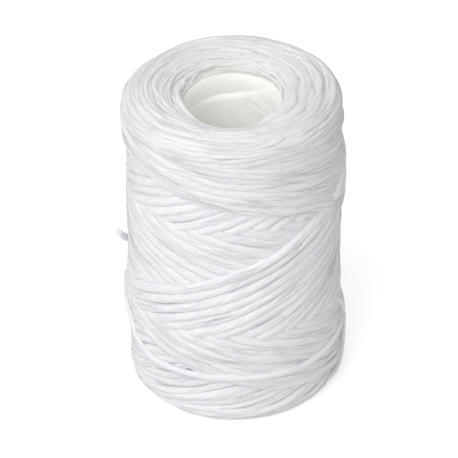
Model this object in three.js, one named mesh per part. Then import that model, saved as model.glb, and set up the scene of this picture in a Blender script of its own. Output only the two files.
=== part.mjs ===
// A coreless roll of white polypropylene twine, wound crosswise and standing on end.
//
// Millimetres, +Z up. The roll's axis is the Z axis and it stands on the plane z = 0.
// Angles are in degrees round the axis: 0 faces -Y, and they grow towards +X.
//
// The twine runs up and down the roll as it goes round, each stroke beside the last one. So the
// outside shows runs that rise to the right and runs that fall to the right, in three rows of
// long triangles, with the newest rising run and the newest falling run between them.
import * as THREE from "three";

// Driving dimensions.
const rollDiameter = 72; // over the crests of the outer runs
const rollHeight = 112;
const boreDiameter = 30;
const twineThickness = 2; // the twine lies pressed flat, wider than it is thick
const topShoulderRadius = 7.5;
const bottomShoulderRadius = 5.5;
const boreLipWidth = 4.2; // the mouths of the bore are rounded over this width
const boreLipDepth = 5.5; // and fall this far
const topDish = 1.2; // the top face sinks towards the bore
const layGap = 0.3; // clearance between neighbouring lays of twine
const grooveDepth = 1.2; // from the crest of a run down to the groove beside it
const layerCount = 9; // inner lays, from the bore out
const layerCrown = 0.8; // how far the twine's bend stands above the edges of a lay at the top
const layerFoot = 0.4; // bevel of a lay's flat foot
const looseRunWidth = 2.6; // the runs that lie on top of the rest, half sunk between them
const looseRunHeight = 1.2;

// The winding.
const rowsPerStroke = 3; // rows of crossings, each half a turn of the twine
const strokeEase = 0.08; // 0 for an even traverse; more slows it towards both ends
const risingTurn = 155; // a rising run goes this far round per row, and a falling run the rest
const newestAngle = 62; // where the newest runs cross on the highest row
const angleStep = 15; // the runs are drawn as chords of this angle
const runsPerRow = 26;
const lastRunStart = 135; // where the last run comes out from under its neighbours
const lastTurnAngle = 390; // where it stops falling and turns back up
const lastTurnHeight = 20;
const cutEndAngle = 623; // where it stops, a turn and a third on
const cutEndHeight = 59;
const cutEndLift = 1.2; // how far the cut end springs off the roll
const cutEndSpring = 22; // over this much of its last turn
const fallEase = 3; // more levels the last run out sooner before it turns
const riseEase = 1.5;
const slackRunStart = 45; // the newest rising run has sprung off the roll here
const slackRunEnd = 128;
const slackRunLift = 0.6;

// Colours.
const twineWhite = 0xf1f2f5;
const boreWhite = 0xe9e9e1;

// Derived sizes.
const rollRadius = rollDiameter / 2;
const boreRadius = boreDiameter / 2;
const fallingTurn = 360 - risingTurn;
const newestRow = rowsPerStroke - 1;
const ringSegments = 30;
// A chord of a run dips this far inside its own round, so what lies under it is smaller by it.
const chordDip = (rollRadius - twineThickness) * (1 - Math.cos(radians(angleStep / 2)));
const underSkin = twineThickness + chordDip + layGap;
const coreRadius = rollRadius - underSkin;
const layerPitch = (coreRadius + layGap - boreRadius) / layerCount;

function radians(degrees) {
  return (degrees * Math.PI) / 180;
}

function layerInside(index) {
  return boreRadius + index * layerPitch;
}

function layerOutside(index) {
  return layerInside(index) + layerPitch - layGap;
}

// One end of the roll: its shoulder, the first lay that the outer runs cover there, and how far
// round the shoulder those runs reach before they turn in behind that lay.
function rollEnd(shoulder, dish) {
  const flatRadius = rollRadius - shoulder;
  const under = shoulder - twineThickness;
  let covered = layerCount - 1;
  while (covered > 0 && layerInside(covered - 1) > flatRadius + 0.15 * under) covered -= 1;
  const share = THREE.MathUtils.clamp((layerInside(covered) - flatRadius) / under, 0.1, 0.9);
  return { shoulder, dish, flatRadius, covered, reach: Math.acos(share) };
}

const topEnd = rollEnd(topShoulderRadius, topDish);
const bottomEnd = rollEnd(bottomShoulderRadius, 0);

// The roll's outline from its bottom end to its top end, as a length along it.
const bottomArc = bottomEnd.shoulder * bottomEnd.reach;
const sideLength = rollHeight - bottomEnd.shoulder - topEnd.shoulder;
const topArc = topEnd.shoulder * topEnd.reach;
const outlineLength = bottomArc + sideLength + topArc;

// The point `depth` under the crests at a share of the outline, and the outward direction there.
function outlineAt(share, depth) {
  const along = share * outlineLength;
  let centreRadius = rollRadius;
  let centreHeight = bottomEnd.shoulder + along - bottomArc;
  let round = 0;
  let turn = 0;
  if (along < bottomArc) {
    centreRadius = bottomEnd.flatRadius;
    centreHeight = bottomEnd.shoulder;
    round = bottomEnd.shoulder;
    turn = (along - bottomArc) / bottomEnd.shoulder;
  } else if (along > bottomArc + sideLength) {
    centreRadius = topEnd.flatRadius;
    centreHeight = rollHeight - topEnd.shoulder;
    round = topEnd.shoulder;
    turn = (along - bottomArc - sideLength) / topEnd.shoulder;
  }
  const normal = new THREE.Vector2(Math.cos(turn), Math.sin(turn));
  const point = new THREE.Vector2(centreRadius, centreHeight);
  return { point: point.addScaledVector(normal, round - depth), normal };
}

// How far along the outline the twine is after a share of its stroke.
function traverse(share) {
  return share - (strokeEase * Math.sin(2 * Math.PI * share)) / (2 * Math.PI);
}

function aroundAxis(angle, flat) {
  const turn = radians(angle);
  return new THREE.Vector3(flat.x * Math.sin(turn), -flat.x * Math.cos(turn), flat.y);
}

// A closed mesh from points and triangles given by number.
function solidGeometry(points, triangles) {
  const geometry = new THREE.BufferGeometry();
  geometry.setFromPoints(points);
  geometry.setIndex(triangles.flat());
  const flatShaded = geometry.toNonIndexed();
  flatShaded.computeVertexNormals();
  return flatShaded;
}

// How far the end of a lay lies in from the end plane of the roll, at a radius.
function endDrop(radius, end, covered) {
  const past = Math.max(radius - end.flatRadius, 0);
  const round = covered ? end.shoulder - underSkin : end.shoulder;
  const shoulderDrop = end.shoulder - Math.sqrt(Math.max(round * round - past * past, 0));
  const inLip = Math.max(boreRadius + boreLipWidth - radius, 0) / boreLipWidth;
  const lipDrop = boreLipDepth * (1 - Math.sqrt(Math.max(1 - inLip * inLip, 0)));
  const inward = THREE.MathUtils.smoothstep(end.flatRadius - radius, 0, end.flatRadius - boreRadius);
  return shoulderDrop + lipDrop + end.dish * inward;
}

// One inner lay: a ring with a crown at the top, where the twine bends over, and a flat foot.
function layerGeometry(index) {
  const inside = layerInside(index);
  const outside = layerOutside(index);
  const foot = [];
  const crown = [];
  for (const share of [0, 0.22, 0.78, 1]) {
    const radius = THREE.MathUtils.lerp(inside, outside, share);
    const bevel = share === 0 || share === 1 ? layerFoot : 0;
    foot.push(new THREE.Vector2(radius, endDrop(radius, bottomEnd, index >= bottomEnd.covered) + bevel));
  }
  for (const share of [1, 0.8, 0.5, 0.2, 0]) {
    const radius = THREE.MathUtils.lerp(inside, outside, share);
    const drop = endDrop(radius, topEnd, index >= topEnd.covered) + layerCrown * (2 * share - 1) ** 2;
    crown.push(new THREE.Vector2(radius, rollHeight - drop));
  }
  const profile = [...foot, ...crown, foot[0].clone()];
  return new THREE.LatheGeometry(profile, ringSegments).rotateX(Math.PI / 2);
}

// Where the newest rising run and the newest falling run cross on a row, 0 at the bottom end.
function crossingAngle(row) {
  return newestAngle + risingTurn * (row - newestRow);
}

// The angle round the roll between two runs that lie the clearance apart.
function seamAngle(turn) {
  const slope = Math.atan2(outlineLength / rowsPerStroke, radians(turn) * rollRadius);
  return THREE.MathUtils.radToDeg(layGap / rollRadius / Math.sin(slope));
}

// One row of runs on the outside, as a curved triangle. Its runs start side by side all round the
// roll on one row and go on to the next. Each one ends where the newest run of the other slope
// covers it, so the first is the longest and the last is only its tip.
function runsGeometry(baseRow, rising) {
  const turn = rising ? risingTurn : fallingTurn;
  const seam = seamAngle(turn);
  const baseWidth = 360 - seam - 2 * seamAngle(360 - turn);
  const startAngle = crossingAngle(baseRow) + seam;
  const direction = rising ? 1 : -1;
  const rows = [baseRow, baseRow + direction];
  const underSteps = rows.includes(0) || rows.includes(rowsPerStroke) ? 2 : 1; // round a shoulder
  const points = [];
  const triangles = [];

  function addFace(...corners) {
    const loop = rising ? corners : [...corners].reverse();
    for (let i = 2; i < loop.length; i += 1) triangles.push([loop[0], loop[i - 1], loop[i]]);
  }

  // A line along the runs, `across` runs from the first one: its ends, and a point at each step
  // round the roll between them.
  function addLine(across, depth) {
    const start = (across * baseWidth) / runsPerRow;
    const end = start + ((baseWidth - start) * turn) / 360;
    const angles = [start];
    for (let i = Math.floor(start / angleStep + 1.01); (i + 0.01) * angleStep < end; i += 1) {
      angles.push(i * angleStep);
    }
    angles.push(end);
    return angles.map((angle) => {
      const stroke = (baseRow + (direction * (angle - start + seam / 2)) / turn) / rowsPerStroke;
      points.push(aroundAxis(startAngle + angle, outlineAt(traverse(stroke), depth).point));
      return { angle, point: points.length - 1 };
    });
  }

  // Triangles between two lines, each from one line's next point round the roll.
  function addStrip(left, right, outward) {
    let i = 0;
    let j = 0;
    while (i < left.length - 1 || j < right.length - 1) {
      const onLeft = j === right.length - 1 || left[i + 1]?.angle <= right[j + 1].angle;
      const next = onLeft ? left[i + 1] : right[j + 1];
      const corners = [left[i].point, right[j].point, next.point];
      addFace(...(outward ? corners : corners.reverse()));
      if (onLeft) i += 1;
      else j += 1;
    }
  }

  const grooves = [];
  const crests = [];
  const undersides = [];
  for (let across = 0; across <= runsPerRow; across += 1) grooves.push(addLine(across, grooveDepth));
  for (let run = 0; run < runsPerRow; run += 1) crests.push(addLine(run + 0.5, 0));
  for (let i = 0; i <= runsPerRow * underSteps; i += 1) {
    undersides.push(addLine(i / underSteps, twineThickness));
  }
  for (let run = 0; run < runsPerRow; run += 1) {
    const under = undersides.slice(run * underSteps, (run + 1) * underSteps + 1);
    const outline = [...under, grooves[run + 1], crests[run], grooves[run]];
    addStrip(grooves[run], crests[run], true);
    addStrip(crests[run], grooves[run + 1], true);
    for (let i = 0; i < underSteps; i += 1) addStrip(under[i], under[i + 1], false);
    addFace(...outline.map((line) => line[0].point));
    addFace(...outline.map((line) => line.at(-1).point).reverse());
  }
  addStrip(undersides[0], grooves[0], true);
  return solidGeometry(points, triangles);
}

// The share of the stroke at which the newest rising run, or the newest falling one, is at an angle.
function strokeAt(angle, rising) {
  const rows = (angle - newestAngle) / (rising ? risingTurn : -fallingTurn);
  return (newestRow + rows) / rowsPerStroke;
}

function shareAtHeight(height) {
  return (height - bottomEnd.shoulder + bottomArc) / outlineLength;
}

// The last run: down beside the newest falling run, round a turn above the foot, and up to the
// cut end, which stands off the roll. A route gives the share of the outline and the lift there.
const lastRun = {
  start: lastRunStart,
  end: cutEndAngle,
  thinEnd: false,
  at(angle) {
    const turnShare = shareAtHeight(lastTurnHeight);
    const falling = angle < lastTurnAngle;
    const far = falling ? lastRunStart : cutEndAngle;
    const farShare = falling ? traverse(strokeAt(far, false)) : shareAtHeight(cutEndHeight);
    const away = (angle - lastTurnAngle) / (far - lastTurnAngle);
    const tip = Math.max(0, 1 - (cutEndAngle - angle) / cutEndSpring);
    const climb = away ** (falling ? fallEase : riseEase);
    return [turnShare + (farShare - turnShare) * climb, cutEndLift * tip ** 2];
  },
};

// The newest rising run where it has sprung off the roll, beyond the newest crossing.
const slackRun = {
  start: slackRunStart,
  end: slackRunEnd,
  thinEnd: true,
  at(angle) {
    const done = (angle - slackRunStart) / (slackRunEnd - slackRunStart);
    return [traverse(strokeAt(angle, true)), slackRunLift * Math.sin(Math.PI * done)];
  },
};

// A run that lies on top of the others: a half-round band along its route, drawn out thin where
// it comes from under its neighbours.
function topRunGeometry(route) {
  const turned = route.end - route.start;
  const steps = Math.ceil((1.5 * turned) / angleStep);
  const sectionSteps = 5;
  const dip = (rollRadius + route.at(route.end)[1]) * (1 - Math.cos(radians(turned / steps / 2)));
  const places = [];
  for (let i = 0; i <= steps; i += 1) {
    const angle = route.start + (turned * i) / steps;
    const [share, lift] = route.at(angle);
    const { point, normal } = outlineAt(share, -layGap - dip - lift);
    const fromEnd = Math.min(i, route.thinEnd ? steps - i : steps);
    places.push({
      centre: aroundAxis(angle, point),
      up: aroundAxis(angle, normal),
      full: Math.min(1, 0.3 + 0.35 * fromEnd),
    });
  }
  const points = [];
  places.forEach(({ centre, up, full }, i) => {
    const before = places[Math.max(i - 1, 0)].centre;
    const after = places[Math.min(i + 1, steps)].centre;
    const along = after.clone().sub(before).normalize();
    const side = new THREE.Vector3().crossVectors(along, up).normalize();
    for (let k = 0; k <= sectionSteps; k += 1) {
      const turn = (k * Math.PI) / sectionSteps;
      const wide = (full * looseRunWidth * Math.cos(turn)) / 2;
      const high = full * looseRunHeight * Math.sin(turn);
      points.push(centre.clone().addScaledVector(side, wide).addScaledVector(up, high));
    }
  });
  const count = sectionSteps + 1;
  const triangles = [];
  for (let i = 0; i < steps; i += 1) {
    for (let k = 0; k < count; k += 1) {
      const a = i * count + k;
      const b = i * count + ((k + 1) % count);
      triangles.push([a, a + count, b], [b, a + count, b + count]);
    }
  }
  const last = steps * count;
  for (let k = 2; k < count; k += 1) {
    triangles.push([0, k - 1, k], [last, last + k, last + k - 1]);
  }
  return solidGeometry(points, triangles);
}

const twine = new THREE.MeshStandardMaterial({ color: twineWhite, roughness: 0.55, metalness: 0 });
const boreTwine = new THREE.MeshStandardMaterial({ color: boreWhite, roughness: 0.6, metalness: 0 });

function namedMesh(name, geometry, material) {
  const mesh = new THREE.Mesh(geometry, material);
  mesh.name = name;
  return mesh;
}

const roll = new THREE.Group();

for (let index = 0; index < layerCount; index += 1) {
  const name = index === 0 ? "bore_lay" : `inner_lay_${index + 1}`;
  roll.add(namedMesh(name, layerGeometry(index), index === 0 ? boreTwine : twine));
}

const rowNames = ["bottom", "middle", "top"];
for (let row = 0; row < rowsPerStroke; row += 1) {
  const name = rowNames[row] ?? `row_${row + 1}`;
  roll.add(namedMesh(`${name}_rising_runs`, runsGeometry(row, true), twine));
  roll.add(namedMesh(`${name}_falling_runs`, runsGeometry(row + 1, false), twine));
}

roll.add(namedMesh("slack_run", topRunGeometry(slackRun), twine));
roll.add(namedMesh("last_run_and_cut_end", topRunGeometry(lastRun), twine));

export default roll;
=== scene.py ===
"""A coreless roll of white polypropylene twine, wound crosswise and standing on end.

The outside, the end faces and the mouth of the bore are strands of twine: the script winds the
roll stroke by stroke over a height field, so that each strand lies on what was wound before it.
Deeper in, the bore has a smooth lining. Angles are in degrees round the axis: 0 faces -Y and they
grow towards +X. Lengths are in metres.
"""

import math

import bpy
import numpy as np
from mathutils import Matrix, Vector


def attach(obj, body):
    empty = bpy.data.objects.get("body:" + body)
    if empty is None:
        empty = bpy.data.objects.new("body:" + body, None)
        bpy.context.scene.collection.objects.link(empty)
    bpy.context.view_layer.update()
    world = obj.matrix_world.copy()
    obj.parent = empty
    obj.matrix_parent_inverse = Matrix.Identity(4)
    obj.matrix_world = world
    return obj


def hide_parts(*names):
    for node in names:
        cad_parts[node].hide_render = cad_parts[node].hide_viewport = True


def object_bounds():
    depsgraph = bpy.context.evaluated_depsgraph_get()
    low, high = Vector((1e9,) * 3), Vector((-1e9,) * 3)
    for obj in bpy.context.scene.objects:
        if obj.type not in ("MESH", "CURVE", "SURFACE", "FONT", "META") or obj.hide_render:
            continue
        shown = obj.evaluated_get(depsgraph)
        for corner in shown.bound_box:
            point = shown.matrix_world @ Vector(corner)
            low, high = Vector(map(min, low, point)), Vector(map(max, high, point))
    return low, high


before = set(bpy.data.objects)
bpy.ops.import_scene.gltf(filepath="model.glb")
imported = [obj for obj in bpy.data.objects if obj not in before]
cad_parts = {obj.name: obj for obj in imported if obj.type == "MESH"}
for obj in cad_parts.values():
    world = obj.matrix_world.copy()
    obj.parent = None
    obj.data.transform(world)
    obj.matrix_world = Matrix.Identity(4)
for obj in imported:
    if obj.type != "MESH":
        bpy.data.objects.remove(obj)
cad_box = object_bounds()

MM = 0.001

# ---- the roll, from the frame and from the sizes that its source names
ROLL_HEIGHT = cad_box[1].z
ROLL_RADIUS = 36 * MM
BORE_RADIUS = 15 * MM
TOP_SHOULDER = 7.5 * MM
BOTTOM_SHOULDER = 5.5 * MM
LIP_WIDTH = 6 * MM  # the mouth of the bore is rounded over this width
LIP_DROP = 6.5 * MM  # and falls this far
DISH = 1.5 * MM  # the top face sinks towards the bore
FRONT_DIP, FRONT_ANGLE = 3.4 * MM, -4  # and sinks more at the front

# ---- the twine
STRAND_SPACING = 3.2 * MM
STRAND_WIDTH = 3.95 * MM  # soft strands, spread over their neighbours' edges
STRAND_THICKNESS = 2.4 * MM
LAY_THICKNESS = 1.75 * MM  # what one strand adds, pressed into those under it
SECTION_SIDES = 18
PLY_LAY = 60 * MM  # one full twist of its two plies
PLY_LOBE, BUNDLE_LOBE = 0.06, 0.035  # how far plies and bundles of fibres stand out, as shares
FIBRE_WIDTH = 0.2 * MM

# ---- the winding
CYCLES = 8
# Strokes per cycle, turns per stroke, angle of the newest one's foot, and how flat they lie.
RISING = {"count": 27, "turns": 1.55, "phase": 85.5, "flat": 0.91}
FALLING = {"count": 20, "turns": 1.94, "phase": 136.8, "flat": 1.1}
LOW_TURN, HIGH_TURN = 0.25, 0.5  # turns over which a stroke slows down at the two ends
END_SPREAD = 5 * MM  # strokes turn back anywhere in this zone
END_SQUASH = 14 * MM  # and are squeezed over this length for it
SLIP, SLIP_REACH, SLIP_AGE = 9 * MM, 24 * MM, 0.3  # the newest falling ones slid off the shoulder
START_SCATTER = 1.2  # degrees by which strokes start out of place
DRIFT, DRIFT_SAMPLES = 0.15 * MM, 90  # how far strokes stray sideways, and how slowly
EDGE_GAP = 0.3 * MM  # no stroke goes nearer to the ends of the outline
CROWDING = 1.15  # how strongly strands count thinner where strokes crowd together
LEAST_SHARE, MOST_SHARE = 0.1, 1.3  # limits of that, as shares of their thickness
WOUND = 20.2 * MM  # what the whole winding grows to
UNEVEN = 0.6 * MM  # how far a strand may lie off the level that the winding has reached
FIRST_LAY = 0.9 * MM  # no tail dives into the bore
ANGLE_CELL = 0.5  # degrees
OUTLINE_CELLS = 300
FIELD_EDGE = 6  # cells past each end of the outline
POINT_STEP = 5  # height-field columns from one strand point to the next

# Ages of strokes, in cycles before the newest one, at which one piece gives way to the next.
NEW, OUTER, INNER, MOUTH, LINING, LINED = 0.5, 1.1, 4, 6.2, 7, 7.6
FRAYED = 0.9  # fibres lie only on strokes newer than this

rng = np.random.default_rng(20)


# ---------------------------------------------------------------- outline of the roll
WALL = ROLL_RADIUS - BORE_RADIUS
END_REACH = math.radians(52)  # how far a lay bends over the one inside it at each end
# The bend at the end of the outermost lay, at that of the inner ones, and the depth between.
OUTER_BEND, INNER_BEND, BEND_FADE = 6 * MM, 2.5 * MM, 8 * MM
STEEPEST = 0.99  # share of a rounded edge at which its curve stops, short of upright
PAST_BEND = 1.3  # strands may follow a bend this much further than it reaches


def lay_end(depth, shoulder, angles=None):
    """The bend at the end of the lay `depth` under the skin: its radius, and where it starts.

    The end face sinks towards the bore only where angles are given."""
    bend = INNER_BEND + (OUTER_BEND - INNER_BEND) * np.clip(1 - depth / BEND_FADE, 0, 1)
    tip = ROLL_RADIUS - depth - bend * (1 - math.cos(END_REACH))
    past = np.clip(tip - (ROLL_RADIUS - shoulder), 0, STEEPEST * shoulder)
    in_lip = np.clip((BORE_RADIUS + LIP_WIDTH - tip) / LIP_WIDTH, 0, STEEPEST)
    drop = shoulder - np.sqrt(shoulder**2 - past**2) + LIP_DROP * (1 - np.sqrt(1 - in_lip**2))
    if angles is not None:
        inward = np.clip((ROLL_RADIUS - shoulder - tip) / (WALL - shoulder), 0, 1)
        inward = inward**2 * (3 - 2 * inward)
        front = np.clip(np.cos(np.radians(angles - FRONT_ANGLE)), 0, 1) ** 2
        drop = drop + inward * (DISH + FRONT_DIP * front)
    return bend, drop + 0.5 * STRAND_THICKNESS + bend * math.sin(END_REACH)


SKIN_DEPTH = np.array(0.5 * STRAND_THICKNESS)
top_bend, top_start = lay_end(SKIN_DEPTH, TOP_SHOULDER)
bottom_bend, bottom_start = lay_end(SKIN_DEPTH, BOTTOM_SHOULDER)
TOP_ARC = float(top_bend) * END_REACH
BOTTOM_ARC = float(bottom_bend) * END_REACH
SIDE = ROLL_HEIGHT - float(top_start) - float(bottom_start)
OUTLINE = BOTTOM_ARC + SIDE + TOP_ARC

# Places where the roll is thinner or thicker, in degrees and mm: angle, height, how far round
# and how far up they reach, and by how much.
UNEVEN_PLACES = (
    (95, 46, 60, 17, -0.9),
    (95, 20, 50, 6, 0.4),
    (95, 101, 45, 7, 0.8),
    (95, 92, 40, 6, 0.5),
    (-95, 86, 45, 8, -0.8),
    (-95, 30, 30, 6, 0.3),
)


def swelling(angles, height):
    """How far the outside stands out from the plain outline."""
    total = 0
    for angle, middle, around, up, change in UNEVEN_PLACES:
        aside = ((angles - angle + 180) % 360 - 180) / around
        above = (height / MM - middle) / up
        total = total + change * MM * np.exp(-(aside**2) - above**2)
    return total


def outline_at(along, depth, angles):
    """Radius, height and outward normal at a length along the outline, `depth` under the skin."""
    top, top_base = lay_end(depth, TOP_SHOULDER, angles)
    bottom, bottom_base = lay_end(depth, BOTTOM_SHOULDER)
    side_share = np.clip((along - BOTTOM_ARC) / SIDE, 0, 1)
    turn_top = np.clip((along - BOTTOM_ARC - SIDE) / TOP_ARC, 0, PAST_BEND) * END_REACH
    turn_bottom = np.clip((BOTTOM_ARC - along) / BOTTOM_ARC, 0, PAST_BEND) * END_REACH
    radius = ROLL_RADIUS - depth - top * (1 - np.cos(turn_top)) - bottom * (1 - np.cos(turn_bottom))
    low, high = bottom_base, ROLL_HEIGHT - top_base
    height = low + (high - low) * side_share + top * np.sin(turn_top) - bottom * np.sin(turn_bottom)
    turn = turn_top - turn_bottom
    radius = radius + swelling(angles, height) * np.clip(1 - depth / WALL, 0, 1)
    return radius, height, np.cos(turn), np.sin(turn)


def slowed(turns, width):
    """Turns made good after some turns from an end, where the traverse starts slowly."""
    return np.where(turns < width, turns**2 / (2 * width), turns - width / 2)


def travelled(share, stroke_turns, low_end, high_end, slip=0.0):
    """Length along the outline after a share of a stroke, from the bottom to the top.

    The stroke turns back `low_end` and `high_end` short of the outline's ends, and near the top
    it has slid down by up to `slip`."""
    rate = OUTLINE / (stroke_turns - (LOW_TURN + HIGH_TURN) / 2)
    low = rate * slowed(share * stroke_turns, LOW_TURN)
    high = rate * slowed((1 - share) * stroke_turns, HIGH_TURN)
    low = low + low_end * np.clip(1 - low / END_SQUASH, 0, 1)
    high = high + high_end * np.clip(1 - high / END_SQUASH, 0, 1)
    high = high + slip * np.clip(1 - high / SLIP_REACH, 0, 1)
    return np.where(share < 0.5, low, OUTLINE - high)


# ---------------------------------------------------------------- winding
COLUMNS = int(360 / ANGLE_CELL)
CELL = OUTLINE / OUTLINE_CELLS
# The height field: how high the winding stands over the mandrel, round the roll and along it.
field = np.zeros((COLUMNS, OUTLINE_CELLS + 2 * FIELD_EDGE))
LAST_ROW = field.shape[1] - 1


def smooth(values, sigma):
    """Values evened out by a bell curve, with their ends held."""
    reach = int(3 * sigma)
    kernel = np.exp(-0.5 * (np.arange(-reach, reach + 1) / sigma) ** 2)
    padded = np.pad(values, reach, mode="edge")
    return np.convolve(padded, kernel / kernel.sum(), mode="valid")


def wander(count, size, rough):
    """A slow random drift of about `size` for each of `count` samples, new every `rough` ones."""
    knots = rng.normal(0, size, max(4, int(count / rough) + 3))
    return np.interp(np.linspace(0, len(knots) - 1.01, count), np.arange(len(knots)), knots)


def crowding():
    """How much thinner a strand counts where strokes turn, so that every lay is evenly thick."""
    passes = np.zeros(LAST_ROW + 1)
    share = np.linspace(0, 1, 20001)
    for short in np.linspace(0, END_SPREAD, 9):
        for family in (RISING, FALLING):
            rows = travelled(share, family["turns"], short, short) / CELL + FIELD_EDGE
            count = np.bincount(rows.round().astype(int), minlength=len(passes))
            passes += count[: len(passes)] * family["count"] * family["turns"]
    passes = smooth(passes, 0.4 * STRAND_SPACING / CELL)
    middle = passes[len(passes) // 2]
    few = np.maximum(passes, 1e-6)
    return np.clip(middle / few, LEAST_SHARE, MOST_SHARE) ** CROWDING


share_of_thickness = crowding()

TAUT, STIFF = 9.0, 3.0  # over how many columns a strand's tension and its stiffness even it out
PRESSED = 0.3 * MM  # how far it presses into a strand that it crosses
DOME_BASE = 0.25  # where the dome of its upper side starts, as a share of half its thickness


def lay_strand(angles, along, grown):
    """Lays one strand on the height field and returns the height of its centre line.

    Its tension keeps it near the height that the winding has grown to by then."""
    column = np.round(angles / ANGLE_CELL).astype(int) % COLUMNS
    row = along / CELL + FIELD_EDGE
    nearest = np.clip(np.round(row).astype(int), 3, LAST_ROW - 3)
    counted = LAY_THICKNESS * share_of_thickness[nearest]
    under = np.mean([field[column, nearest + k] for k in range(-1, 2)], axis=0)
    centre = under + 0.5 * counted
    centre = np.maximum(smooth(centre, TAUT), centre - PRESSED)
    level = grown + 0.5 * LAY_THICKNESS
    centre = level + UNEVEN * np.tanh((centre - level) / UNEVEN)
    centre = smooth(centre, STIFF)
    half = STRAND_SPACING / 2
    reach = int(half / CELL) + 1
    for k in range(-reach, reach + 1):
        across = np.abs((nearest + k - row) * CELL)
        inside = across < half
        dome = np.sqrt(np.clip(1 - (across / half) ** 2, 0, 1))
        top = centre + 0.5 * counted * (dome - DOME_BASE)
        cells = (column[inside], np.clip(nearest[inside] + k, 0, LAST_ROW))
        field[cells] = np.maximum(field[cells], top[inside])
    return centre


# Where it turns back, the twine goes on along the end for a while and dives under its neighbours.
TAIL = int(40 / ANGLE_CELL)
TAIL_DIVE = 2.2 * MM


def tail_sink(count):
    """How deep a stroke of `count` samples dives, from the tip of one tail to the other's."""
    share = np.linspace(1, 0, TAIL) ** 2
    return TAIL_DIVE * np.concatenate([share, np.zeros(count), share[::-1]])


def wound_strokes():
    """Every stroke from the first to the newest, in the order in which they were wound."""
    order = []
    for rising, family in ((True, RISING), (False, FALLING)):
        for n in range(CYCLES * family["count"]):
            order.append((n / family["count"], rising, family))
    order.sort(key=lambda item: -item[0])
    fine = int(max(RISING["turns"], FALLING["turns"]) * COLUMNS) + 1
    share = np.linspace(0, 1, fine)
    made = []
    for age, rising, family in order:
        phase = family["phase"] + 360 * age + rng.normal(0, START_SCATTER)
        angles = phase + (1 if rising else -1) * 360 * family["turns"] * share
        ends = rng.uniform(0, END_SPREAD, 2)
        slip = 0 if rising else SLIP * math.exp(-age / SLIP_AGE)
        along = travelled(share, family["turns"], *ends, slip)
        along = along + wander(fine, DRIFT, DRIFT_SAMPLES)
        along = np.clip(along, EDGE_GAP, OUTLINE - EDGE_GAP)
        height = lay_strand(angles, along, WOUND * (1 - age / CYCLES))
        height = np.pad(height, TAIL, mode="edge") - tail_sink(fine)
        made.append(
            {
                "age": age,
                "rising": rising,
                "angles": np.pad(angles, TAIL, mode="reflect", reflect_type="odd"),
                "along": np.pad(along, TAIL, mode="edge"),
                "height": np.maximum(height, FIRST_LAY),
            }
        )
    return made


strokes = wound_strokes()
END_ROWS = FIELD_EDGE + 20  # left out of the measure of how high the winding has grown
skin = float(np.percentile(field[:, END_ROWS:-END_ROWS], 90))


# ---------------------------------------------------------------- strands as meshes
SUNK = 0.4 * MM  # a strand is thicker than what it adds, so it lies this much deeper
END_SQUEEZE = 0.27  # strands are pressed thinner where they turn back
TIP_POINTS, LONG_TIP_POINTS = 4, 16  # over which the ends of a strand are drawn out
SHORTEST = 4 * POINT_STEP  # samples; a shorter part of a stroke is left out
WIDTH_SPREAD = 0.05  # from strand to strand
WIDTH_DRIFT, WIDTH_POINTS = 0.09, 9  # along one strand, and how slowly
THICKNESS_DRIFT, THICKNESS_POINTS = 0.07, 11


def centre_line(angles, along, height):
    """Points and outward directions along part of a stroke, at its height in the winding."""
    depth = (skin - height) * WALL / skin + SUNK
    r, z, out_r, out_z = outline_at(along, depth, angles)
    a = np.radians(angles)
    point = np.stack([r * np.sin(a), -r * np.cos(a), z], 1)
    up = np.stack([out_r * np.sin(a), -out_r * np.cos(a), out_z], 1)
    return point, up


def tube(point, up, width, thickness, phase, sides=SECTION_SIDES):
    """Rings of a twisted two-ply strand round a centre line, and the fibre coordinates on them."""
    along = np.gradient(point, axis=0)
    along /= np.linalg.norm(along, axis=1, keepdims=True)
    side = np.cross(along, up)
    side /= np.linalg.norm(side, axis=1, keepdims=True)
    up = np.cross(side, along)
    length = np.concatenate([[0], np.cumsum(np.linalg.norm(np.diff(point, axis=0), axis=1))])
    turn = np.arange(sides)[None, :] * 2 * math.pi / sides
    lay = 2 * math.pi * length[:, None] / PLY_LAY
    twist = lay + phase
    # Two plies, and bundles of fibres that wind round at rates of their own.
    lobes = 1 + PLY_LOBE * np.cos(2 * (turn - twist))
    lobes = lobes + BUNDLE_LOBE * np.cos(5 * turn - 3.1 * lay - 2 * phase)
    lobes = lobes + BUNDLE_LOBE * np.cos(4 * turn + 2.3 * lay + 5 * phase)
    wide = 0.5 * width[:, None] * lobes * np.cos(turn)
    high = 0.5 * thickness[:, None] * lobes * np.sin(turn)
    rings = point[:, None, :] + wide[..., None] * side[:, None, :]
    rings = rings + high[..., None] * up[:, None, :]
    fibre = np.stack(
        [
            np.broadcast_to(length[:, None], rings.shape[:2]) + 0.37 * phase,
            0.5 * STRAND_WIDTH * np.cos(turn - twist),
            0.5 * STRAND_WIDTH * np.sin(turn - twist),
        ],
        -1,
    )
    return rings, fibre


def strand_object(name, tubes, material, slot, *nodes):
    """One object from many tubes."""
    vertices, fibres, faces = [], [], []
    start = 0
    for rings, fibre in tubes:
        count = len(rings)
        vertices.append(rings.reshape(-1, 3))
        fibres.append(fibre.reshape(-1, 3))
        sides = rings.shape[1]
        ring = np.arange(count - 1)[:, None] * sides + start
        k = np.arange(sides)[None, :]
        after = (k + 1) % sides
        quads = np.stack([ring + k, ring + after, ring + sides + after, ring + sides + k], -1)
        faces.append(quads.reshape(-1, 4))
        start += count * sides
    vertices = np.concatenate(vertices)
    fibres = np.concatenate(fibres)
    faces = np.concatenate(faces)
    return mesh_object(name, vertices, fibres, faces, material, slot, *nodes)


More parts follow.
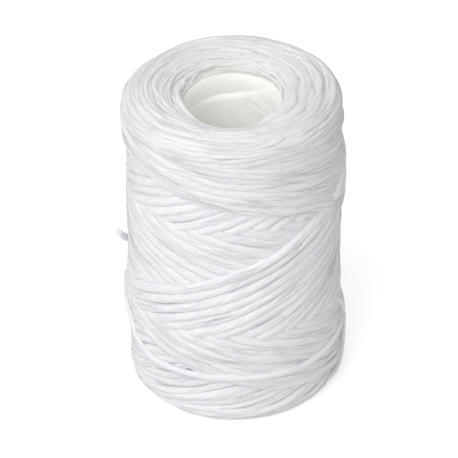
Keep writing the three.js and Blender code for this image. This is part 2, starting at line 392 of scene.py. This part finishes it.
def placed(mesh, material, slot, *nodes):
    """The piece of a finished mesh, on the roll's one body, for the CAD nodes it stands for."""
    mesh.materials.append(material)
    piece = bpy.data.objects.new(mesh.name, mesh)
    bpy.context.scene.collection.objects.link(piece)
    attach(piece, "root")
    if nodes:
        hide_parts(*nodes)
    return piece


def mesh_object(name, vertices, fibres, faces, material, slot, *nodes):
    """A smooth piece from four-sided faces, which keeps its fibre coordinates."""
    mesh = bpy.data.meshes.new(name)
    mesh.vertices.add(len(vertices))
    mesh.vertices.foreach_set("co", vertices.astype(np.float32).ravel())
    mesh.loops.add(faces.size)
    mesh.loops.foreach_set("vertex_index", faces.astype(np.int32).ravel())
    mesh.polygons.add(len(faces))
    mesh.polygons.foreach_set("loop_start", np.arange(0, faces.size, 4, dtype=np.int32))
    mesh.update(calc_edges=True)
    mesh.validate()
    attribute = mesh.attributes.new("fibre", "FLOAT_VECTOR", "POINT")
    attribute.data.foreach_set("vector", fibres.astype(np.float32).ravel())
    mesh.shade_smooth()
    return placed(mesh, material, slot, *nodes)


def strand_size(stroke, along):
    """Width and thickness of a stroke's strand: pressed thinner where it turns back."""
    end = np.minimum(along, OUTLINE - along)
    squeeze = 1 - END_SQUEEZE * np.exp(-((end / END_SQUASH) ** 2))
    flat = (RISING if stroke["rising"] else FALLING)["flat"]
    return STRAND_WIDTH * flat * squeeze**1.6, STRAND_THICKNESS / flat * squeeze


def stroke_tubes(stroke, keep, tip_points=TIP_POINTS):
    """Tubes of the parts of a stroke where keep is true, thinned to every few samples."""
    chosen = np.flatnonzero(keep)
    made = []
    for run in np.split(chosen, np.flatnonzero(np.diff(chosen) > 1) + 1):
        if len(run) < SHORTEST:
            continue
        picked = run[::POINT_STEP]
        point, up = centre_line(
            stroke["angles"][picked], stroke["along"][picked], stroke["height"][picked]
        )
        count = len(picked)
        width, thickness = strand_size(stroke, stroke["along"][picked])
        width = width * rng.normal(1, WIDTH_SPREAD)
        width = width * (1 + wander(count, WIDTH_DRIFT, WIDTH_POINTS))
        thickness = thickness * (1 + wander(count, THICKNESS_DRIFT, THICKNESS_POINTS))
        from_tip = np.minimum(np.arange(count), np.arange(count)[::-1])
        tip = np.sqrt(np.clip(from_tip / tip_points, 0, 1))
        made.append(tube(point, up, width * tip, thickness * tip, rng.uniform(0, 2 * math.pi)))
    return made


# ---------------------------------------------------------------- materials
# The glow is painted light: emission that lights the bore's twine from within and fades out with
# depth.
GLOW_FULL, GLOW_ENDS = 22 * MM, 85 * MM  # depths under the top between which the glow fades


def twine_material(name, colour, shade, glow=0.0):
    """Fibrous twine with streaks along it.

    Given a glow, it gives off light of its own, more so near the top: painted light that stands in
    for light coming through the lays."""
    material = bpy.data.materials.new(name)
    material.use_nodes = True
    nodes, links = material.node_tree.nodes, material.node_tree.links
    shader = nodes["Principled BSDF"]
    shader.inputs["Roughness"].default_value = 0.5
    shader.inputs["Specular IOR Level"].default_value = 0.35
    shader.inputs["Sheen Weight"].default_value = 0.15
    shader.inputs["Subsurface Weight"].default_value = 0.25
    shader.inputs["Subsurface Radius"].default_value = (1, 1, 1)
    shader.inputs["Subsurface Scale"].default_value = 0.8 * MM
    fibre = nodes.new("ShaderNodeAttribute")
    fibre.attribute_name = "fibre"
    stretch = nodes.new("ShaderNodeVectorMath")
    stretch.operation = "MULTIPLY"
    stretch.inputs[1].default_value = (0.07, 1.0, 1.0)
    links.new(fibre.outputs["Vector"], stretch.inputs[0])
    streaks = nodes.new("ShaderNodeTexNoise")
    streaks.inputs["Scale"].default_value = 2.6 / MM
    streaks.inputs["Detail"].default_value = 3
    streaks.inputs["Roughness"].default_value = 0.6
    links.new(stretch.outputs[0], streaks.inputs["Vector"])
    ramp = nodes.new("ShaderNodeValToRGB")
    ramp.color_ramp.elements[0].position = 0.35
    ramp.color_ramp.elements[0].color = (*shade, 1)
    ramp.color_ramp.elements[1].position = 0.6
    ramp.color_ramp.elements[1].color = (*colour, 1)
    links.new(streaks.outputs["Fac"], ramp.inputs["Fac"])
    links.new(ramp.outputs["Color"], shader.inputs["Base Color"])
    bump = nodes.new("ShaderNodeBump")
    bump.inputs["Strength"].default_value = 0.6
    bump.inputs["Distance"].default_value = 0.2 * MM
    links.new(streaks.outputs["Fac"], bump.inputs["Height"])
    links.new(bump.outputs["Normal"], shader.inputs["Normal"])
    # painted light: emission in the twine's own colour, strongest near the top
    if glow:
        place = nodes.new("ShaderNodeTexCoord")
        split = nodes.new("ShaderNodeSeparateXYZ")
        fade = nodes.new("ShaderNodeMapRange")
        fade.interpolation_type = "SMOOTHSTEP"
        fade.inputs["From Min"].default_value = ROLL_HEIGHT - GLOW_ENDS
        fade.inputs["From Max"].default_value = ROLL_HEIGHT - GLOW_FULL
        fade.inputs["To Max"].default_value = glow
        links.new(place.outputs["Object"], split.inputs[0])
        links.new(split.outputs["Z"], fade.inputs["Value"])
        links.new(fade.outputs["Result"], shader.inputs["Emission Strength"])
        links.new(ramp.outputs["Color"], shader.inputs["Emission Color"])
    return material


white = twine_material("twine_white", (0.945, 0.947, 0.96), (0.79, 0.8, 0.835))
# The bore's twine: a darker, warmer copy of the same twine, which is painted shade, and it glows
# near the top, which is painted light.
bore_painted_shade_and_glow = twine_material("twine_in_bore_painted_shade_and_glow", (0.87, 0.87, 0.843), (0.81, 0.81, 0.78), glow=0.115)
# At the mouth of the bore: a slightly darker, warmer copy of the twine, painted shade that leads
# into the bore's.
shaded = twine_material("twine_painted_shade_at_mouth", (0.94, 0.94, 0.925), (0.83, 0.83, 0.81))

# ---------------------------------------------------------------- pieces
everywhere = np.ones(len(strokes[0]["along"]), bool)


def outer_tubes(rising, youngest, oldest):
    """Whole strokes of one slope, from one age to another."""
    chosen = [s for s in strokes if s["rising"] == rising and youngest <= s["age"] < oldest]
    return [t for s in chosen for t in stroke_tubes(s, everywhere)]


rows = ("bottom", "middle", "top")
strand_object(
    "rising_runs_new", outer_tubes(True, 0, NEW), white, "twine",
    *[f"{row}_rising_runs" for row in rows],
)
strand_object(
    "falling_runs_new", outer_tubes(False, 0, NEW), white, "twine",
    *[f"{row}_falling_runs" for row in rows],
)
strand_object("rising_runs_old", outer_tubes(True, NEW, OUTER), white, "twine")
strand_object("falling_runs_old", outer_tubes(False, NEW, OUTER), white, "twine")

COVERING = 0.1 * MM  # a strand still shows under no more than this
FIBRE_STEP = 4  # samples of the stroke from one point of a fibre to the next
FEWEST_POINTS, MOST_POINTS = 7, 21
FIBRE_PLACE = 0.7  # across the strand, as a share of half its width
FIBRE_LEAN, FIBRE_BOW = 0.5, 0.2  # likewise, how far it crosses over and how far it bows
FIBRE_LIFT, LEAST_LIFT = 0.07 * MM, 0.02 * MM
FLOOR_GAP = 0.5 * MM


def fibres_on(stroke, tried):
    """Frayed fibres that lie along a stroke where it shows, a little off its surface."""
    angles, along, height = stroke["angles"], stroke["along"], stroke["height"]
    column = np.round(angles / ANGLE_CELL).astype(int) % COLUMNS
    row = np.clip(np.round(along / CELL + FIELD_EDGE).astype(int), 0, LAST_ROW)
    surface = 0.5 * LAY_THICKNESS * share_of_thickness[row]
    shown = field[column, row] - height < surface + COVERING
    width, thickness = strand_size(stroke, along)
    made = []
    for _ in range(tried):
        count = int(rng.integers(FEWEST_POINTS, MOST_POINTS + 1))
        start = int(rng.integers(TAIL, len(angles) - TAIL - FIBRE_STEP * count))
        picked = np.arange(start, start + FIBRE_STEP * count, FIBRE_STEP)
        place = rng.uniform(-FIBRE_PLACE, FIBRE_PLACE)
        lean = rng.normal(0, FIBRE_LEAN)
        bow = rng.normal(0, FIBRE_BOW)
        lift = rng.exponential(FIBRE_LIFT) + LEAST_LIFT
        phase = rng.uniform(0, 2 * math.pi)
        if not shown[picked].all():
            continue
        t = np.linspace(-1, 1, count)
        across = place + lean * t + bow * t**2
        point, up = centre_line(angles[picked], along[picked], height[picked])
        forward = np.gradient(point, axis=0)
        side = np.cross(forward / np.linalg.norm(forward, axis=1, keepdims=True), up)
        rise = 0.5 * thickness[picked] * np.sqrt(np.clip(1 - across**2, 0.1, 1))
        rise = rise + lift * (0.4 + t**2)
        point = point + side * (0.5 * across * width[picked])[:, None] + up * rise[:, None]
        if point[:, 2].min() < FLOOR_GAP:
            continue
        size = FIBRE_WIDTH * np.sqrt(1.02 - t**2)
        made.append(tube(point, up, size, size, phase, 3))
    return made


def frayed_fibres(name, rising, tried):
    """Fibres on every stroke that may show; those that would be covered are left out."""
    chosen = [s for s in strokes if s["rising"] == rising and s["age"] < FRAYED]
    strand_object(name, [t for s in chosen for t in fibres_on(s, tried)], white, "twine")


frayed_fibres("rising_run_fibres", True, 50)
frayed_fibres("falling_run_fibres", False, 80)

END_ZONE = 9 * MM  # how far from the end of the outline a covered stroke shows
END_SHOWN = 2  # of so many strokes, one is shown
OVER_LINING = 2 * MM  # lower down, the lining of the bore stands for the strands


def end_tubes(youngest, oldest, top, tip_points=TIP_POINTS):
    """Some of the covered strokes where they turn back, so that each shows by itself."""
    made = []
    for stroke in strokes[::END_SHOWN]:
        if not youngest <= stroke["age"] < oldest:
            continue
        from_end = OUTLINE - stroke["along"] if top else stroke["along"]
        shown = (from_end < END_ZONE) & (stroke["height"] > OVER_LINING)
        made += stroke_tubes(stroke, shown, tip_points)
    return made


inner_nodes = [f"inner_lay_{n}" for n in range(2, 10)]
strand_object("top_turns_outer", end_tubes(OUTER, INNER, True), white, "twine", *inner_nodes[3:])
strand_object("top_turns_inner", end_tubes(INNER, MOUTH, True), white, "twine", *inner_nodes[:3])
strand_object("bottom_turns_outer", end_tubes(OUTER, INNER, False), white, "twine")
strand_object("bottom_turns_inner", end_tubes(INNER, LINING, False), white, "twine")
mouth_tubes = end_tubes(MOUTH, LINED, True, LONG_TIP_POINTS)
strand_object("bore_turns_top", mouth_tubes, shaded, "bore_twine")
strand_object("bore_turns_bottom", end_tubes(LINING, CYCLES, False), bore_painted_shade_and_glow, "bore_twine")

# The lining of the bore, in mm and degrees. Near the top one lap of it folds over the next: where
# the fold is, how far it climbs and over what angle, and how soft its edge is.
LINING_PROUD = 0.6
FOLD_DEPTH, FOLD_CLIMB, CLIMB_ANGLE, FOLD_SOFTNESS = 13.9, 5, 50, 0.5
# The lap below lies further out: by how much, where most, and how that fades round and down.
LAP_STEP, LAP_ANGLE, LAP_AROUND, LAP_DOWN = 1.1, 175, 70, 14
# The crease over the fold: its height, where it is most, how far round it goes, how far above.
CREASE, CREASE_ANGLE, CREASE_AROUND, CREASE_ABOVE = 0.6, 188, 34, 0.9


def lining_radius(angle, height):
    """Inner radius of the lining: slightly wavy, with one lap of it creased over the next."""
    right = np.clip((180 - angle) / CLIMB_ANGLE, 0, 1)
    fold = ROLL_HEIGHT - (FOLD_DEPTH - FOLD_CLIMB * right**1.3) * MM
    under = 1 / (1 + np.exp((height - fold) / (FOLD_SOFTNESS * MM)))
    faded = np.exp(-(((angle - LAP_ANGLE) / LAP_AROUND) ** 2))
    faded = faded * np.exp(-np.clip(fold - height, 0, None) / (LAP_DOWN * MM))
    aside = (angle - CREASE_ANGLE) / CREASE_AROUND
    above = (height - fold - CREASE_ABOVE * MM) / (FOLD_SOFTNESS * MM)
    crease = np.exp(-(aside**2) - above**2)
    waves = 0.12 * np.sin(np.radians(2 * angle) + height / (5 * MM))
    waves = waves + 0.08 * np.sin(np.radians(5 * angle) - height / (3 * MM))
    return BORE_RADIUS + (CREASE * crease - LAP_STEP * under * faded + waves - LINING_PROUD) * MM


def bore_lining():
    """The first lay, pressed smooth round the mandrel: its wall, with a fold near the top."""
    around, up = 180, 200
    outside = BORE_RADIUS + 1.6 * MM
    low, high = 3 * MM, ROLL_HEIGHT - 6.2 * MM
    flare, flare_length = 2.4 * MM, 4 * MM
    angle = np.arange(around) * 360 / around
    height = low + (high - low) * np.linspace(0, 1, up) ** 0.6  # closer together near the top
    a, z = np.meshgrid(angle, height)
    radius = lining_radius(a, z)
    edge = np.clip(1 - np.minimum(high - z, z - low) / flare_length, 0, 1)
    radius = radius + flare * (1 - np.sqrt(np.clip(1 - edge**2, 0, 1)))
    # Two more rows close the wall behind.
    radius = np.vstack([radius, np.full((2, around), outside)])
    z = np.vstack([z, np.full((1, around), high), np.full((1, around), low)])
    a = np.vstack([a, a[:2]])
    turn = np.radians(a)
    vertices = np.stack([radius * np.sin(turn), -radius * np.cos(turn), z], -1).reshape(-1, 3)
    lean = math.radians(38)
    reach = turn * BORE_RADIUS
    along = reach * math.cos(lean) - z * math.sin(lean)
    across = reach * math.sin(lean) + z * math.cos(lean)
    fibres = np.stack([along, across, 0 * z], -1).reshape(-1, 3)
    i, j = np.meshgrid(np.arange(len(z)), np.arange(around), indexing="ij")
    here, above, beside = i * around, (i + 1) % len(z) * around, (j + 1) % around
    faces = np.stack([here + j, above + j, above + beside, here + beside], -1).reshape(-1, 4)
    return mesh_object("bore_lining", vertices, fibres, faces, bore_painted_shade_and_glow, "bore_twine", "bore_lay")


bore_lining()


def bore_fibres():
    """Loose fibres that fan out over the lining at the right, each lower than the one before.

    Angles are in degrees and heights in mm."""
    fibre_count, points = 15, 16
    t = np.linspace(-1, 1, points)
    made = []
    for k in range(fibre_count):
        angle = np.linspace(170 - 2 * k, 116 - 1.3 * k, points) + rng.normal(0, 2)
        height = np.linspace(99.4 - 0.7 * k, 95.6 - 0.95 * k, points) + rng.normal(0, 0.3)
        height = height + rng.normal(0.4, 0.3) * (1 - t**2)
        out = lining_radius(angle, height * MM) - (0.1 + 0.2 * (1 - t**2)) * MM
        a = np.radians(angle)
        point = np.stack([out * np.sin(a), -out * np.cos(a), height * MM], 1)
        up = np.stack([-np.sin(a), np.cos(a), 0 * a], 1)
        size = 1.3 * FIBRE_WIDTH * np.sqrt(1.02 - t**2)
        made.append(tube(point, up, size, size, k, 4))
    strand_object("bore_fibres", made, bore_painted_shade_and_glow, "bore_twine")


bore_fibres()

DEGREE = 0.63  # mm round the outside
LOOSE_STEP, LOOSE_SMOOTHING = 1.2, 1.6  # mm from point to point, and points evened out together


def loose_strand(name, places, width, thickness, *nodes, cut=False):
    """A strand through places given as angle, height and lift off the outside, heights in mm.

    Its ends are drawn out thin, or the last one is cut straight across."""
    places = np.array(places, float)
    steps = np.hypot(np.diff(places[:, 0]) * DEGREE, np.diff(places[:, 1]))
    reach = np.concatenate([[0], np.cumsum(steps)])
    count = max(12, int(reach[-1] / LOOSE_STEP))
    at = np.linspace(0, reach[-1], count)
    fine = [smooth(np.interp(at, reach, places[:, k]), LOOSE_SMOOTHING) for k in range(3)]
    angles, height, lift = fine[0], fine[1] * MM, fine[2] * MM
    along = BOTTOM_ARC + height - float(bottom_start)
    r, z, out_r, out_z = outline_at(along, np.full(count, 0.5 * thickness), angles)
    a = np.radians(angles)
    up = np.stack([out_r * np.sin(a), -out_r * np.cos(a), out_z], 1)
    point = np.stack([r * np.sin(a), -r * np.cos(a), z], 1) + up * lift[:, None]
    from_tip = np.minimum(np.arange(count) + 0.3, np.arange(count)[::-1] + 0.3)
    size = np.sqrt(np.clip(from_tip / 2, 0, 1))
    if cut:
        size[count // 2 :] = 1
        tip = point[-1] + 0.02 * (point[-1] - point[-2])
        point = np.vstack([point, tip])
        up = np.vstack([up, up[-1]])
        size = np.append(size, 0.02)
    rings = tube(point, up, width * size, thickness * size, 1.0)
    return strand_object(name, [rings], white, "twine", *nodes)


loose_strand(
    "last_run",
    [
        (130, 64, -3), (146, 60, -1.9), (160, 56.6, -0.8), (176, 52.8, 0.1), (200, 47, 0.3),
        (250, 36.5, 0.5), (268, 31.5, 1.1), (281, 24.8, 0.3), (292, 20.8, 0.6), (310, 19.3, 0.9),
        (335, 20, 0.9), (360, 20.6, 1), (388, 19.6, 1), (416, 20, 0.8), (450, 22.5, 0.5),
        (500, 29, 0.3), (560, 40, 0.3), (600, 46.5, 0.2), (620, 48.6, 0.2), (625, 49.6, 0.9),
        (628, 52.4, 2.4), (630, 55.2, 3.4),
    ],
    2.4 * MM, 2 * MM, "last_run_and_cut_end", cut=True,
)
loose_strand(
    "slack_loop",
    [
        (52, 74.5, -1.4), (62, 71.8, -0.5), (76, 69, 0.1), (86, 69.5, 0.7), (91, 75, 0.9),
        (94, 82, 0.7), (100, 87, 0.1), (110, 91, -0.6), (120, 94, -1.4),
    ],
    1.8 * MM, 1.6 * MM, "slack_run",
)
loose_strand(
    "slack_foot_run",
    [
        (60, 38, -1.2), (72, 34, -0.2), (82, 28, 0.6), (88, 19, 0.7), (86, 11, 0.6),
        (74, 5.4, 0.3), (58, 3, -1),
    ],
    1.8 * MM, 1.6 * MM,
)


def backing():
    """The winding under the strands that show: a plain ring that closes the gaps between them."""
    steps, inset = 72, 2.4 * MM
    low, high = inset, ROLL_HEIGHT - 2 * MM
    inside, outside = BORE_RADIUS + 1.7 * MM, ROLL_RADIUS - inset
    profile = [
        (inside, low + 3 * MM),
        (inside + 3 * MM, low),
        (outside - 3 * MM, low),
        (outside, low + 4 * MM),
        (outside, high - 5 * MM),
        (outside - 5 * MM, high),
        (inside + 4 * MM, high - 0.6 * MM),
        (inside + 1.2 * MM, high - 2.4 * MM),
        (inside, high - 4.6 * MM),
    ]
    vertices = []
    for i in range(steps):
        a = 2 * math.pi * i / steps
        front = max(math.cos(a - math.radians(FRONT_ANGLE)), 0) ** 2
        for r, z in profile:
            inward = (outside - r) / (outside - inside) if z > ROLL_HEIGHT / 2 else 0
            vertices.append((r * math.sin(a), -r * math.cos(a), z - FRONT_DIP * front * inward))
    count = len(profile)
    faces = []
    for i in range(steps):
        j = (i + 1) % steps
        for k in range(count):
            after = (k + 1) % count
            faces.append((i * count + k, j * count + k, j * count + after, i * count + after))
    mesh = bpy.data.meshes.new("winding_inside")
    mesh.from_pydata(vertices, [], faces)
    mesh.update()
    # It takes the bore's material: in the gaps between strands it is painted shade, a darker copy
    # of the twine, and near the top painted light, since it glows.
    return placed(mesh, bore_painted_shade_and_glow, "twine")


backing()

# ---------------------------------------------------------------- stage, light and camera
TARGET = Vector((0, 0, ROLL_HEIGHT / 2))
LEFT_GLOW, RIGHT_GLOW = 0.58, 0.42  # the room is darker to the right
FLOOR_GLOW = 0.49  # what the camera sees of the floor beyond the light that falls on it
FLOOR_HALF = 2.5  # half the side of the floor
LIGHT_SIDE = 0.6


def floor_material():
    """A matt white floor, lifted towards white for the camera alone."""
    material = bpy.data.materials.new("floor_white")
    material.use_nodes = True
    nodes, links = material.node_tree.nodes, material.node_tree.links
    shader = nodes["Principled BSDF"]
    shader.inputs["Base Color"].default_value = (0.86, 0.86, 0.87, 1)
    shader.inputs["Roughness"].default_value = 1
    shader.inputs["Specular IOR Level"].default_value = 0
    path = nodes.new("ShaderNodeLightPath")
    glow = nodes.new("ShaderNodeEmission")
    glow.inputs["Color"].default_value = (1, 1, 1, 1)
    add = nodes.new("ShaderNodeAddShader")
    scale = nodes.new("ShaderNodeMath")
    scale.operation = "MULTIPLY"
    scale.inputs[1].default_value = FLOOR_GLOW
    links.new(path.outputs["Is Camera Ray"], scale.inputs[0])
    links.new(scale.outputs[0], glow.inputs["Strength"])
    links.new(shader.outputs[0], add.inputs[0])
    links.new(glow.outputs[0], add.inputs[1])
    links.new(add.outputs[0], nodes["Material Output"].inputs["Surface"])
    return material


def stage():
    """The floor, and a room that lights the roll evenly and is white to the camera."""
    corners = [(x * FLOOR_HALF, y * FLOOR_HALF, 0) for x, y in ((-1, -1), (1, -1), (1, 1), (-1, 1))]
    mesh = bpy.data.meshes.new("floor")
    mesh.from_pydata(corners, [], [(0, 1, 2, 3)])
    mesh.materials.append(floor_material())
    floor = bpy.data.objects.new("floor", mesh)
    bpy.context.scene.collection.objects.link(floor)
    world = bpy.data.worlds.new("studio")
    bpy.context.scene.world = world
    world.use_nodes = True
    nodes, links = world.node_tree.nodes, world.node_tree.links
    background = nodes["Background"]
    background.inputs["Color"].default_value = (1, 1, 1, 1)
    place = nodes.new("ShaderNodeTexCoord")
    split = nodes.new("ShaderNodeSeparateXYZ")
    links.new(place.outputs["Generated"], split.inputs[0])
    side = nodes.new("ShaderNodeMapRange")
    side.inputs["From Min"].default_value = -0.3
    side.inputs["From Max"].default_value = 1.0
    side.inputs["To Min"].default_value = LEFT_GLOW
    side.inputs["To Max"].default_value = RIGHT_GLOW
    links.new(split.outputs["X"], side.inputs["Value"])
    path = nodes.new("ShaderNodeLightPath")
    mix = nodes.new("ShaderNodeMapRange")
    links.new(side.outputs["Result"], mix.inputs["To Min"])
    mix.inputs["To Max"].default_value = 1.0
    links.new(path.outputs["Is Camera Ray"], mix.inputs["Value"])
    links.new(mix.outputs["Result"], background.inputs["Strength"])


def area_light(name, place, power):
    """A square soft light that faces the middle of the roll."""
    light = bpy.data.lights.new(name, "AREA")
    light.energy = power
    light.size = LIGHT_SIDE
    lamp = bpy.data.objects.new(name, light)
    lamp.location = place
    lamp.rotation_mode = "QUATERNION"
    lamp.rotation_quaternion = (TARGET - Vector(place)).to_track_quat("-Z", "Y")
    bpy.context.scene.collection.objects.link(lamp)


def camera():
    """A camera far off, well above the roll and tilted a little."""
    distance, elevation, roll = 1256 * MM, math.radians(35), math.radians(0.97)
    data = bpy.data.cameras.new("camera")
    data.sensor_width = 36
    data.lens = 298.77
    data.shift_x, data.shift_y = -0.01157, -0.00524
    data.clip_start, data.clip_end = 0.05, 20
    eye = bpy.data.objects.new("camera", data)
    back = Vector((0, -math.cos(elevation), math.sin(elevation)))
    eye.location = TARGET + back * distance
    eye.rotation_mode = "QUATERNION"
    straight = (-back).to_track_quat("-Z", "Y")
    eye.rotation_quaternion = straight @ Matrix.Rotation(-roll, 3, "Z").to_quaternion()
    bpy.context.scene.collection.objects.link(eye)
    bpy.context.scene.camera = eye


stage()
area_light("key", (-0.245, -0.913, 0.795), 4.05)
area_light("high_key", (-0.45, -0.45, 1.074), 3.25)
camera()
bpy.context.scene.view_settings.view_transform = "Standard"
